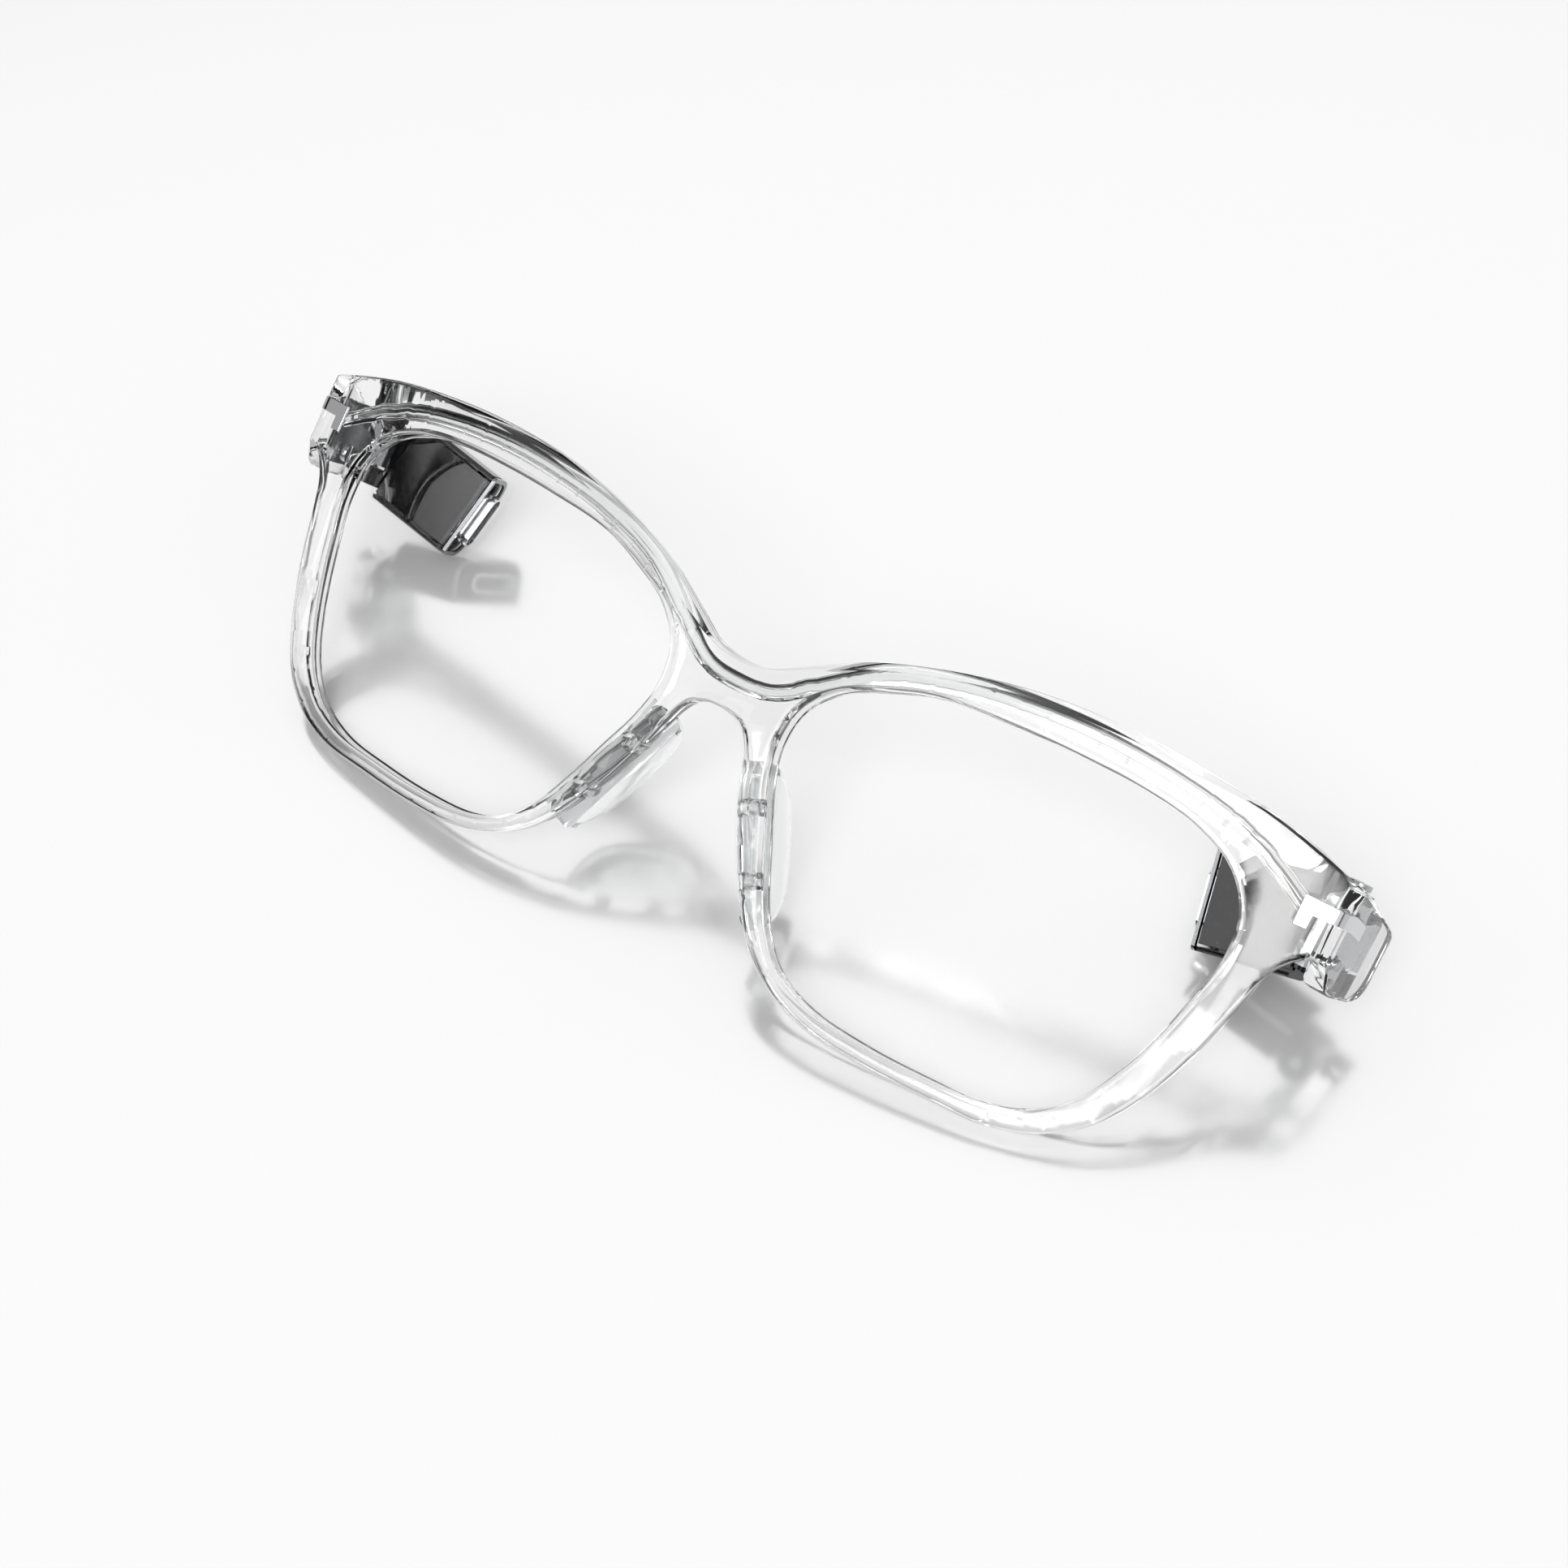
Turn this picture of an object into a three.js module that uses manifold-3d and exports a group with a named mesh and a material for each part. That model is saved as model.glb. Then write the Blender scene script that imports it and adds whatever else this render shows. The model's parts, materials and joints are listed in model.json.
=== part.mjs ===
// Front of a pair of modular smart glasses: a crystal clear frame with two short,
// folding connector stubs that take the temple modules. Millimetres, +Z up.
// The glasses lie back on the lower rims and on the folded stubs, front towards -Y.
import * as THREE from 'three';
import { mergeVertices } from 'three/addons/utils/BufferGeometryUtils.js';
import Module from 'manifold-3d';

const wasm = await Module();
wasm.setup();

// ---- driving dimensions -------------------------------------------------------
const GAP = 0.3;                    // clearance between pieces that fit together
const RECLINE = 50;                 // degrees the front lies back from upright

const FRONT_RADIUS = 281;           // wrap of the front, seen from above
const FRONT_THICKNESS = 3.1;
const FRONT_END = 66.6;             // half width where the corner starts to turn back
const CORNER_RADIUS = 2.2;

const LUG_FLARE = 12.5;             // degrees the flank opens outwards
const LUG_LENGTH = 10.367;          // how far behind the corner the flank ends
const LUG_WALL = 2.8;
const LUG_BOTTOM = 5.8;
const LUG_TOP = 17.4;
const LUG_REAR_TOP = 14.2;
const LUG_REAR_RADIUS = 2.4;
const LUG_REAR_CHAMFER = 0.7;
const LUG_ROOT = 4.4;               // root of the lug inboard of the corner
const LUG_ROOT_DEPTH = [-2.2, 0.6]; // root of the lug, front and back of the corner
const LUG_FILLET = 3.2;             // rise of the lower edge into the rim
const LUG_FILLET_RUN = 2.6;

const LENS_THICKNESS = 1.5;
const LENS_GROOVE = 0.7;            // depth of the groove around each opening
const LENS_DEPTH = 0.8;             // front surface of the rim to the front of the lens

const CABLE_DIAMETER = 1.2;
const CHANNEL_DIAMETER = 1.9;
const CHANNEL_DEPTH = 0.55;         // channel centre below the rear surface
const CHANNEL_OVERRUN = 1.4;        // channel beyond each end of the cable
const CHANNEL_FALL = 0.55;          // slope of that last run

const PLATE_BAR = 1.7;              // height of the corner plate's bar
const PLATE_LEG = 1.45;             // width of its leg
const PLATE_LEG_LENGTH = 3.2;
const PLATE_INBOARD = 3.3;          // inner end of the bar to the start of the corner
const PLATE_TOP = 14.5;
const PLATE_RUN = 2.367;            // how far behind the corner the bar ends
const PLATE_THICKNESS = 0.6;
const PLATE_PROUD = 0.15;
const PLATE_DROP = 11;              // degrees the bar slopes down on the flank

const PAD_LENGTH = 18;              // nose pad, along the nose side of the rim
const PAD_DEPTH = 6;
const PAD_THICKNESS = 3.4;
const PAD_TILT = 24;                // degrees of the nose side from upright
const PAD_X = 9.6;
const PAD_Z = -7.2;
const PAD_BULGE = 1.05;             // roundness of the pad's outline, 1 is a plain arc
const STUD_DIAMETER = 1.7;
const STUD_SPACING = 7.8;
const STUD_LENGTH = 2.4;

const HINGE_INBOARD = 1.8;          // hinge axis to the inner face of the flank
const HINGE_SETBACK = 1.2;          // hinge axis to the rear end of the flank
const HINGE_Z = 11.4;
const BARREL_RADIUS = 1.9;
const BARREL_HALF = 2.4;            // half height of the bracket's knuckle
const EAR_HEIGHT = 2.3;             // each knuckle of the stub housing
const PIN_DIAMETER = 1.4;
const PIN_HEAD_DIAMETER = 2.6;
const PIN_HEAD = 0.6;
const BRACKET_THICKNESS = 1.0;
const BRACKET_HALF = 3.9;
const BRACKET_LENGTH = 4.4;
const BRACKET_SETBACK = 1.167;      // corner to the front edge of the bracket
const SCREW_DIAMETER = 1.2;
const SCREW_HEAD = 2.2;
const SCREW_SPACING = 4.6;
const SCREW_SETBACK = 1.9;          // front edge of the bracket to the screws
const SCREW_BITE = 1.7;             // depth of the screw hole in the flank
const SCREW_HEAD_HEIGHT = 0.7;
const SLOT_WIDTH = 0.44;            // driver slots
const SLOT_DEPTH = 0.3;

const FOLD = 77;                    // degrees the stubs are folded in at rest
const STUB_DROP = 12;               // degrees the stubs slope down from the hinge
const STUB_START = 2.1;             // hinge axis to the root of the housing
const STUB_REACH = 14.9;            // hinge axis to the face of the bezel
const STUB_HEIGHT = 11.4;
const STUB_THICKNESS = 5.6;
const STUB_OFFSET = 1.7;            // middle of the stub outboard of the hinge axis
const STUB_EDGE = 0.5;              // corner radius on the inner side
const STUB_ROUND = 2.3;             // corner radius on the outer side
const STUB_WALL = 0.8;              // outer wall around the cavity
const STUB_RAIL = 1.4;              // top and bottom walls around the cavity
const MOUTH_WALL = 0.6;             // wall of the housing around the connector
const COVER_THICKNESS = 0.6;
const COVER_EDGE = 0.85;            // edge of the cover to the top and bottom of the stub
const COVER_SETBACK = 1.2;          // root of the housing to the root of the cover
const CAVITY_SETBACK = 2.4;
const BEZEL_LENGTH = 0.4;
const BEZEL_WALL = 0.55;
const SEAL_LENGTH = 0.5;
const SEAL_WALL = 0.35;
const SEAT_THICKNESS = 1.0;
const PLUG_WIDTH = 7.3;
const PLUG_HEIGHT = 2.5;
const PLUG_WALL = 0.32;
const PLUG_PROUD = 1.0;             // plug beyond the face of the bezel
const PLUG_ROOT = 3.6;              // plug shell behind the face of the bezel
const TONGUE_SLOT = 0.8;
const TONGUE_MARGIN = 1.2;          // end of the tongue slot to the side of the plug
const INSERT_SETBACK = 0.5;         // front of the insert behind the rim of the plug
const BOARD_THICKNESS = 0.8;
const CHIP_THICKNESS = 0.7;
const CHIP_SIZE = [3.6, 4.4];       // along the stub, up the stub

const BAND_STEPS = 44;              // facets across the front
const OUTLINE_STEPS = 190;          // facets around the whole outline
const OPENING_STEPS = 64;           // facets around each opening
const CHANNEL_STEPS = 72;           // facets along the channel

const rad = THREE.MathUtils.degToRad;

// ---- materials ----------------------------------------------------------------
function material(color, roughness, metalness, opacity = 1) {
  return new THREE.MeshStandardMaterial({
    color, roughness, metalness, opacity, transparent: opacity < 1 });
}
const clearNylon = material(0xf2f4f5, 0.04, 0, 0.35);
const lensResin = material(0xfafcfd, 0.02, 0, 0.2);
const softSilicone = material(0xe4e7e9, 0.3, 0, 0.5);
const blackNylon = material(0x1b1b1c, 0.12, 0);
const blackPlastic = material(0x0c0c0d, 0.35, 0);
const polishedSteel = material(0xd6d7d9, 0.12, 1);
const brushedSteel = material(0xb4b6b8, 0.3, 1);
const plugSteel = material(0xc9cbcd, 0.2, 1);
const blackRubber = material(0x151515, 0.7, 0);
const boardGreen = material(0x1f4a33, 0.5, 0);
const chipBlack = material(0x18191a, 0.4, 0);
const cableJacket = material(0xe9edef, 0.1, 0, 0.5);

// ---- solids -------------------------------------------------------------------
function toSolid(geometry) {
  const plain = geometry.clone();
  plain.deleteAttribute('normal');
  plain.deleteAttribute('uv');
  const merged = mergeVertices(plain, 1e-4);
  return new wasm.Manifold(new wasm.Mesh({
    numProp: 3,
    vertProperties: new Float32Array(merged.attributes.position.array),
    triVerts: new Uint32Array(merged.index.array),
  }));
}

function toGeometry(solid) {
  const mesh = solid.getMesh();
  const geometry = new THREE.BufferGeometry();
  geometry.setAttribute('position', new THREE.BufferAttribute(mesh.vertProperties, 3));
  geometry.setIndex(new THREE.BufferAttribute(mesh.triVerts, 1));
  geometry.computeVertexNormals();
  return geometry;
}

function mirrored(geometry) {
  const copy = geometry.index ? geometry.toNonIndexed() : geometry.clone();
  copy.scale(-1, 1, 1);
  const flipped = mergeVertices(strip(copy), 1e-4);
  const index = flipped.index;
  for (let i = 0; i < index.count; i += 3) {
    const first = index.getX(i);
    index.setX(i, index.getX(i + 1));
    index.setX(i + 1, first);
  }
  flipped.computeVertexNormals();
  return flipped;
}

function strip(geometry) {
  geometry.deleteAttribute('normal');
  geometry.deleteAttribute('uv');
  return geometry;
}

function prism(shape, depth, curveSegments = 6) {
  return new THREE.ExtrudeGeometry(shape, { depth, bevelEnabled: false, curveSegments });
}

// Shape drawn in X and Z, with its depth along Y.
function prismXZ(shape, yStart, yEnd, curveSegments) {
  return prism(shape, yEnd - yStart, curveSegments).rotateX(Math.PI / 2).translate(0, yEnd, 0);
}

// Shape drawn in X and Y, with its height along Z.
function prismXY(shape, zStart, zEnd, curveSegments) {
  return prism(shape, zEnd - zStart, curveSegments).translate(0, 0, zStart);
}

// Shape drawn in Y and Z, with its depth along X.
function prismYZ(shape, xStart, xEnd, curveSegments) {
  const turned = prism(shape, xEnd - xStart, curveSegments);
  return turned.rotateX(Math.PI / 2).rotateZ(Math.PI / 2).translate(xStart, 0, 0);
}

function box(xStart, xEnd, yStart, yEnd, zStart, zEnd) {
  return new THREE.BoxGeometry(xEnd - xStart, yEnd - yStart, zEnd - zStart)
    .translate((xStart + xEnd) / 2, (yStart + yEnd) / 2, (zStart + zEnd) / 2);
}

function upright(radius, zStart, zEnd, sides = 20) {
  return new THREE.CylinderGeometry(radius, radius, zEnd - zStart, sides)
    .rotateX(Math.PI / 2).translate(0, 0, (zStart + zEnd) / 2);
}

function polygon(points) {
  return new THREE.Shape(points.map(([x, y]) => new THREE.Vector2(x, y)));
}

function splineLoop(points, divisions) {
  const knots = points.map(([x, y]) => new THREE.Vector3(x, y, 0));
  const curve = new THREE.CatmullRomCurve3(knots, true);
  return curve.getSpacedPoints(divisions).slice(0, divisions)
    .map((p) => new THREE.Vector2(p.x, p.y));
}

// Rectangle with its own radius on the low-x side and on the high-x side.
function roundedSection(xStart, xEnd, height, lowRadius, highRadius) {
  const top = height / 2;
  const shape = new THREE.Shape();
  shape.moveTo(xStart + lowRadius, -top);
  shape.lineTo(xEnd - highRadius, -top);
  shape.absarc(xEnd - highRadius, -top + highRadius, highRadius, -Math.PI / 2, 0, false);
  shape.absarc(xEnd - highRadius, top - highRadius, highRadius, 0, Math.PI / 2, false);
  shape.lineTo(xStart + lowRadius, top);
  shape.absarc(xStart + lowRadius, top - lowRadius, lowRadius, Math.PI / 2, Math.PI, false);
  shape.absarc(xStart + lowRadius, -top + lowRadius, lowRadius, Math.PI, Math.PI * 1.5, false);
  return shape;
}

// ---- the plan of the front: curved front, turned corner and flared flank --------
const frontY = (x) => x * x / (2 * FRONT_RADIUS);
const cornerAngle = Math.atan(FRONT_END / FRONT_RADIUS);
const flankAngle = Math.PI / 2 - rad(LUG_FLARE);
const cornerCentre = {
  x: FRONT_END - CORNER_RADIUS * Math.sin(cornerAngle),
  y: frontY(FRONT_END) + CORNER_RADIUS * Math.cos(cornerAngle),
};

function cornerPoint(angle, inset) {
  const r = CORNER_RADIUS - inset;
  return [cornerCentre.x + r * Math.sin(angle), cornerCentre.y - r * Math.cos(angle)];
}

function flankPoint(y, inset) {
  const [x, start] = cornerPoint(flankAngle, inset);
  return [x + (y - start) * Math.tan(rad(LUG_FLARE)), y];
}

function cornerArc(inset) {
  const steps = 6;
  const arc = [];
  for (let i = 0; i <= steps; i += 1) {
    const angle = cornerAngle + (flankAngle - cornerAngle) * i / steps;
    arc.push(cornerPoint(angle, inset));
  }
  return arc;
}

function frontCurve(xStart, xEnd, inset, steps) {
  const curve = [];
  for (let i = 0; i <= steps; i += 1) {
    const x = xStart + (xEnd - xStart) * i / steps;
    curve.push([x, frontY(x) + inset]);
  }
  return curve;
}

// Band between two insets below the front surface, across the whole front.
function frontBand(outer, inner) {
  const halfWidth = FRONT_END + CORNER_RADIUS;
  const near = frontCurve(-halfWidth, halfWidth, outer, BAND_STEPS);
  const far = frontCurve(-halfWidth, halfWidth, inner, BAND_STEPS).reverse();
  return prismXY(polygon([...near, ...far]), -40, 40);
}

// Where the pieces behind the corner start and end.
const LUG_REACH = cornerCentre.y + LUG_LENGTH;
const PLATE_BACK = cornerCentre.y + PLATE_RUN;
const BRACKET_START = cornerCentre.y + BRACKET_SETBACK;

// Hinge axis of the right side, in plan.
const HINGE_Y = LUG_REACH - HINGE_SETBACK;
const HINGE_X = flankPoint(HINGE_Y, LUG_WALL + GAP)[0] - HINGE_INBOARD;
const PLATE_START = FRONT_END - PLATE_INBOARD;

// ---- outlines of the front ------------------------------------------------------
// The knots are drawn for this half width. A wider or narrower front moves those
// beyond the nose, a little at NOSE_SIDE and the whole change from LENS_MIDDLE outwards.
const DRAWN_END = 66.6;
const NOSE_SIDE = 10;
const LENS_MIDDLE = 36;

const OUTLINE = [
  [0, 10.0], [3.6, 10.5], [7.6, 12.7], [13.6, 16.0], [22, 18.9], [32, 20.9], [42.5, 21.4],
  [51, 20.9], [58, 19.9], [63.4, 18.7], [66.6, 17.5], [68.3, 15.8], [68.8, 13.4],
  [68.4, 10.8], [67.0, 8.9], [64.9, 7.6], [63.3, 5.2], [62.1, 1.4], [60.9, -3.1],
  [59.4, -7.5], [57.4, -12], [54.6, -16.2], [50.7, -19.3], [45.4, -21.2], [38.4, -21.7],
  [31, -21.9], [24.5, -21.5], [19.2, -19.9], [14.8, -16.8], [11.4, -12.4], [8.6, -7.5],
  [6.4, -2.9], [5.0, 1.0], [3.2, 3.6],
];
const NOSE_ARCH = [0, 4.4];

const OPENING = [
  [57.9, 0], [58.9, 5], [58.4, 9.6], [55.8, 13.3], [51.2, 15.6], [45, 16.6], [38, 16.8],
  [30, 16.5], [22, 15.7], [16.1, 13.7], [11.4, 11.3], [8.5, 7.9], [7.8, 3.6], [8.8, -0.6],
  [10.7, -4.9], [12.7, -9.4], [15.3, -14.2], [18.7, -17.7], [23.4, -19.5], [30, -20.1],
  [37, -20.0], [43.9, -19.4], [48.8, -17.5], [52.6, -13.9], [55.6, -7.9],
];
const OPENING_CENTRE = [33.3, -1.6];

const CHANNEL = [
  [0, 7.5], [4.2, 8.0], [8.2, 10.6], [15.4, 15.2], [23.5, 17.7], [31, 18.8], [39, 19.2],
  [48, 18.6], [54.5, 17.4], [59, 15.6], [62.6, 13.6],
];

function widened([x, z]) {
  const share = (x - NOSE_SIDE) / (LENS_MIDDLE - NOSE_SIDE);
  return [x + (FRONT_END - DRAWN_END) * THREE.MathUtils.clamp(share, 0, 1), z];
}

function wholeOutline() {
  const half = OUTLINE.map(widened);
  const right = [...half, NOSE_ARCH];
  const left = half.slice(1).map(([x, z]) => [-x, z]).reverse();
  return splineLoop([...right, ...left], OUTLINE_STEPS);
}

function openingOutline(side, margin) {
  const [cx, cz] = widened(OPENING_CENTRE);
  const points = OPENING.map(widened).map(([x, z]) => {
    const reach = Math.hypot(x - cx, z - cz);
    const scale = (reach + margin) / reach;
    return [side * (cx + (x - cx) * scale), cz + (z - cz) * scale];
  });
  return new THREE.Shape(splineLoop(points, OPENING_STEPS));
}

function channelTube(diameter, sides, overrun) {
  const points = [];
  const half = CHANNEL.map(widened);
  const knots = half.slice(1).map(([x, z]) => [-x, z]).reverse().concat(half);
  for (const [x, z] of knots) {
    const reach = Math.abs(x) === half.at(-1)[0] ? overrun : 0;
    const y = frontY(x) + FRONT_THICKNESS - CHANNEL_DEPTH;
    points.push(new THREE.Vector3(x + Math.sign(x) * reach, y, z - reach * CHANNEL_FALL));
  }
  const path = new THREE.CatmullRomCurve3(points);
  const circle = new THREE.Shape();
  circle.absarc(0, 0, diameter / 2, 0, Math.PI * 2, false);
  return new THREE.ExtrudeGeometry(circle, {
    steps: CHANNEL_STEPS, extrudePath: path, curveSegments: sides / 2, bevelEnabled: false });
}

// ---- lugs: flared flanks behind the corners -------------------------------------
function lugSolid() {
  const start = cornerCentre.y;
  const outer = [...cornerArc(0), flankPoint(LUG_REACH, 0)];
  const inner = [flankPoint(LUG_REACH, LUG_WALL), flankPoint(start + 1.2, LUG_WALL)];
  const rootX = cornerCentre.x - LUG_ROOT;
  const [rootFront, rootBack] = LUG_ROOT_DEPTH;
  const root = [[rootX, start + rootBack], [rootX, start + rootFront]];
  const plan = prismXY(polygon([...outer, ...inner, ...root]), 0, 30);
  const side = new THREE.Shape();
  const r = LUG_REAR_RADIUS;
  side.moveTo(frontY(FRONT_END) - 1, LUG_TOP);
  side.lineTo(start, LUG_TOP);
  side.lineTo(LUG_REACH - LUG_REAR_CHAMFER, LUG_REAR_TOP);
  side.lineTo(LUG_REACH, LUG_REAR_TOP - LUG_REAR_CHAMFER);
  side.lineTo(LUG_REACH, LUG_BOTTOM + r);
  side.absarc(LUG_REACH - r, LUG_BOTTOM + r, r, 0, -Math.PI / 2, true);
  side.lineTo(start + LUG_FILLET_RUN, LUG_BOTTOM);
  side.quadraticCurveTo(start + 0.4, LUG_BOTTOM + 0.2, start - 0.6, LUG_BOTTOM + LUG_FILLET);
  side.lineTo(frontY(FRONT_END) - 1, LUG_BOTTOM + LUG_FILLET + 0.2);
  const sideways = prismYZ(side, cornerCentre.x - 8, cornerCentre.x + 12);
  return toSolid(plan).intersect(toSolid(sideways));
}

// ---- corner plates ----------------------------------------------------------------
// The bar runs along the front and round the corner onto the flank; the leg hangs
// from its inner end. grow widens every face of the plate.
function plateSolid(grow) {
  const out = -PLATE_PROUD - grow;
  const deep = PLATE_THICKNESS - PLATE_PROUD + grow;
  const near = [...frontCurve(PLATE_START - grow, FRONT_END, out, 3), ...cornerArc(out),
    flankPoint(PLATE_BACK + grow, out)];
  const far = [...frontCurve(PLATE_START - grow, FRONT_END, deep, 3), ...cornerArc(deep),
    flankPoint(PLATE_BACK + grow, deep)].reverse();
  const band = toSolid(prismXY(polygon([...near, ...far]), PLATE_TOP - 6, PLATE_TOP + 3));
  const bend = cornerCentre.y - 1;
  const drop = (PLATE_BACK + 2 - bend) * Math.tan(rad(PLATE_DROP));
  const bar = prismYZ(polygon([
    [-5, PLATE_TOP + grow], [-5, PLATE_TOP - PLATE_BAR - grow],
    [bend, PLATE_TOP - PLATE_BAR - grow],
    [PLATE_BACK + 2, PLATE_TOP - PLATE_BAR - grow - drop],
    [PLATE_BACK + 2, PLATE_TOP + grow - drop], [bend, PLATE_TOP + grow],
  ]), PLATE_START - 2, PLATE_START + 12);
  const leg = box(PLATE_START - 2, PLATE_START + PLATE_LEG + grow, -5, 20,
    PLATE_TOP - PLATE_LEG_LENGTH - grow, PLATE_TOP + grow);
  return band.intersect(toSolid(bar).add(toSolid(leg)));
}

// ---- nose pads ---------------------------------------------------------------------
// Local frame: Y back from the rim, Z along the nose side, X across the pad.
function padBlade() {
  const half = PAD_LENGTH / 2;
  const side = new THREE.Shape();
  side.moveTo(0, -half);
  side.quadraticCurveTo(PAD_DEPTH * PAD_BULGE, -half * 0.9, PAD_DEPTH, 0);
  side.quadraticCurveTo(PAD_DEPTH * PAD_BULGE, half * 0.9, 0, half);
  return prismYZ(side, -PAD_THICKNESS / 2, PAD_THICKNESS / 2, 8);
}

function padStuds(diameter, length) {
  const studs = [];
  for (const z of [-STUD_SPACING / 2, STUD_SPACING / 2]) {
    studs.push(new THREE.CylinderGeometry(diameter / 2, diameter / 2, length + 1, 12)
      .translate(0, (1 - length) / 2, z));
  }
  return studs.map(toSolid).reduce((all, one) => all.add(one));
}

function placePad(solidGeometry, side) {
  return solidGeometry.rotateY(-side * rad(PAD_TILT))
    .translate(side * PAD_X, frontY(PAD_X) + FRONT_THICKNESS + GAP, PAD_Z);
}

function nosePad(side) {
  const pad = toSolid(padBlade()).add(padStuds(STUD_DIAMETER, STUD_LENGTH));
  return placePad(toGeometry(pad), side);
}

// ---- front frame ---------------------------------------------------------------------
function frontFrame() {
  let rims = toSolid(prismXZ(new THREE.Shape(wholeOutline()), -20, 40));
  for (const side of [-1, 1]) {
    rims = rims.subtract(toSolid(prismXZ(openingOutline(side, 0), -30, 50)));
  }
  let body = toSolid(frontBand(0, FRONT_THICKNESS)).intersect(rims);
  const keep = prismXZ(new THREE.Shape(wholeOutline()), -20, cornerCentre.y + 0.4);
  const behind = box(-90, 90, cornerCentre.y, 60, -40, 40);
  const lug = lugSolid().intersect(toSolid(keep).add(toSolid(behind)));
  const cornerTrim = cornerTrimSolid();
  body = body.subtract(cornerTrim).subtract(toSolid(mirrored(toGeometry(cornerTrim))));
  body = body.add(lug).add(toSolid(mirrored(toGeometry(lug))));
  const grooveFront = LENS_DEPTH - GAP;
  const grooveRear = LENS_DEPTH + LENS_THICKNESS + GAP;
  const grooveBand = toSolid(frontBand(grooveFront, grooveRear));
  for (const side of [-1, 1]) {
    const reach = toSolid(prismXZ(openingOutline(side, LENS_GROOVE), -20, 40));
    body = body.subtract(grooveBand.intersect(reach));
    const studHoles = toGeometry(padStuds(STUD_DIAMETER + 2 * GAP, STUD_LENGTH + GAP));
    body = body.subtract(toSolid(placePad(studHoles, side)));
  }
  body = body.subtract(toSolid(channelTube(CHANNEL_DIAMETER, 12, CHANNEL_OVERRUN)));
  const pocket = plateSolid(GAP);
  body = body.subtract(pocket).subtract(toSolid(mirrored(toGeometry(pocket))));
  for (const hole of screwCylinders(SCREW_DIAMETER / 2 + GAP, GAP)) {
    body = body.subtract(toSolid(hole)).subtract(toSolid(mirrored(hole)));
  }
  return toGeometry(body);
}

// What lies outside the turned corner, in plan.
function cornerTrimSolid() {
  const outer = [...cornerArc(0), flankPoint(LUG_REACH, 0)];
  const far = [[90, LUG_REACH], [90, -10], [FRONT_END, -10]];
  return toSolid(prismXY(polygon([...outer, ...far]), -5, 40));
}

// ---- lenses --------------------------------------------------------------------------
function lens(side) {
  const band = toSolid(frontBand(LENS_DEPTH, LENS_DEPTH + LENS_THICKNESS));
  const outline = openingOutline(side, LENS_GROOVE - GAP);
  return toGeometry(band.intersect(toSolid(prismXZ(outline, -20, 40))));
}

// ---- hinge ---------------------------------------------------------------------------
// Bracket plate on the inner face of the flank, ending in one knuckle on the hinge axis.
function bracketPlan() {
  const [x0, y0] = flankPoint(BRACKET_START, LUG_WALL + GAP);
  const [x1, y1] = flankPoint(HINGE_Y - 1.4, LUG_WALL + GAP);
  return [[x0, y0], [x1, y1], [HINGE_X + BARREL_RADIUS * 0.7, HINGE_Y],
    [HINGE_X - BARREL_RADIUS * 0.7, HINGE_Y - 1.2], [x1 - BRACKET_THICKNESS - 0.3, y1 - 1.6],
    [x0 - BRACKET_THICKNESS, y0]];
}

function hingeBracket() {
  const tongue = toSolid(prismXY(polygon(bracketPlan()),
    HINGE_Z - BARREL_HALF, HINGE_Z + BARREL_HALF));
  const [x0, y0] = flankPoint(BRACKET_START, LUG_WALL + GAP);
  const [x1, y1] = flankPoint(BRACKET_START + BRACKET_LENGTH, LUG_WALL + GAP);
  const plate = toSolid(prismXY(polygon([[x0, y0], [x1, y1],
    [x1 - BRACKET_THICKNESS, y1], [x0 - BRACKET_THICKNESS, y0]]),
  HINGE_Z - BRACKET_HALF, HINGE_Z + BRACKET_HALF));
  const knuckle = toSolid(upright(BARREL_RADIUS, HINGE_Z - BARREL_HALF, HINGE_Z + BARREL_HALF)
    .translate(HINGE_X, HINGE_Y, 0));
  let bracket = tongue.add(plate).add(knuckle);
  const bore = toSolid(upright(PIN_DIAMETER / 2 + GAP, HINGE_Z - 9, HINGE_Z + 9, 16)
    .translate(HINGE_X, HINGE_Y, 0));
  bracket = bracket.subtract(bore);
  for (const hole of screwCylinders(SCREW_DIAMETER / 2 + GAP, 2)) {
    bracket = bracket.subtract(toSolid(hole));
  }
  return toGeometry(bracket);
}

// Screw shanks, square to the flank, from the bracket into the wall of the lug.
const screwY = BRACKET_START + SCREW_SETBACK;
function screwCylinders(radius, extra) {
  const shanks = [];
  for (const z of [-SCREW_SPACING / 2, SCREW_SPACING / 2]) {
    shanks.push(screwPiece(radius, -BRACKET_THICKNESS - extra, SCREW_BITE + GAP, z));
  }
  return shanks;
}

function screwPiece(radius, start, end, z) {
  const [x, y] = flankPoint(screwY, LUG_WALL + GAP);
  return new THREE.CylinderGeometry(radius, radius, end - start, 14)
    .translate(0, (start + end) / 2, 0).rotateZ(-Math.PI / 2 - rad(LUG_FLARE))
    .translate(x, y, HINGE_Z + z);
}

function bracketScrew(z) {
  const headEnd = -BRACKET_THICKNESS - GAP;
  const headStart = headEnd - SCREW_HEAD_HEIGHT;
  const shank = toSolid(screwPiece(SCREW_DIAMETER / 2, headEnd - SCREW_HEAD_HEIGHT / 2,
    SCREW_BITE - GAP, z));
  const head = toSolid(screwPiece(SCREW_HEAD / 2, headStart, headEnd, z));
  const slot = toSolid(box(-SLOT_DEPTH, SLOT_DEPTH, -SLOT_WIDTH / 2, SLOT_WIDTH / 2, -2, 2)
    .rotateZ(-rad(LUG_FLARE)).translate(...slotPlace(headStart), HINGE_Z + z));
  return toGeometry(shank.add(head).subtract(slot));
}

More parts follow.
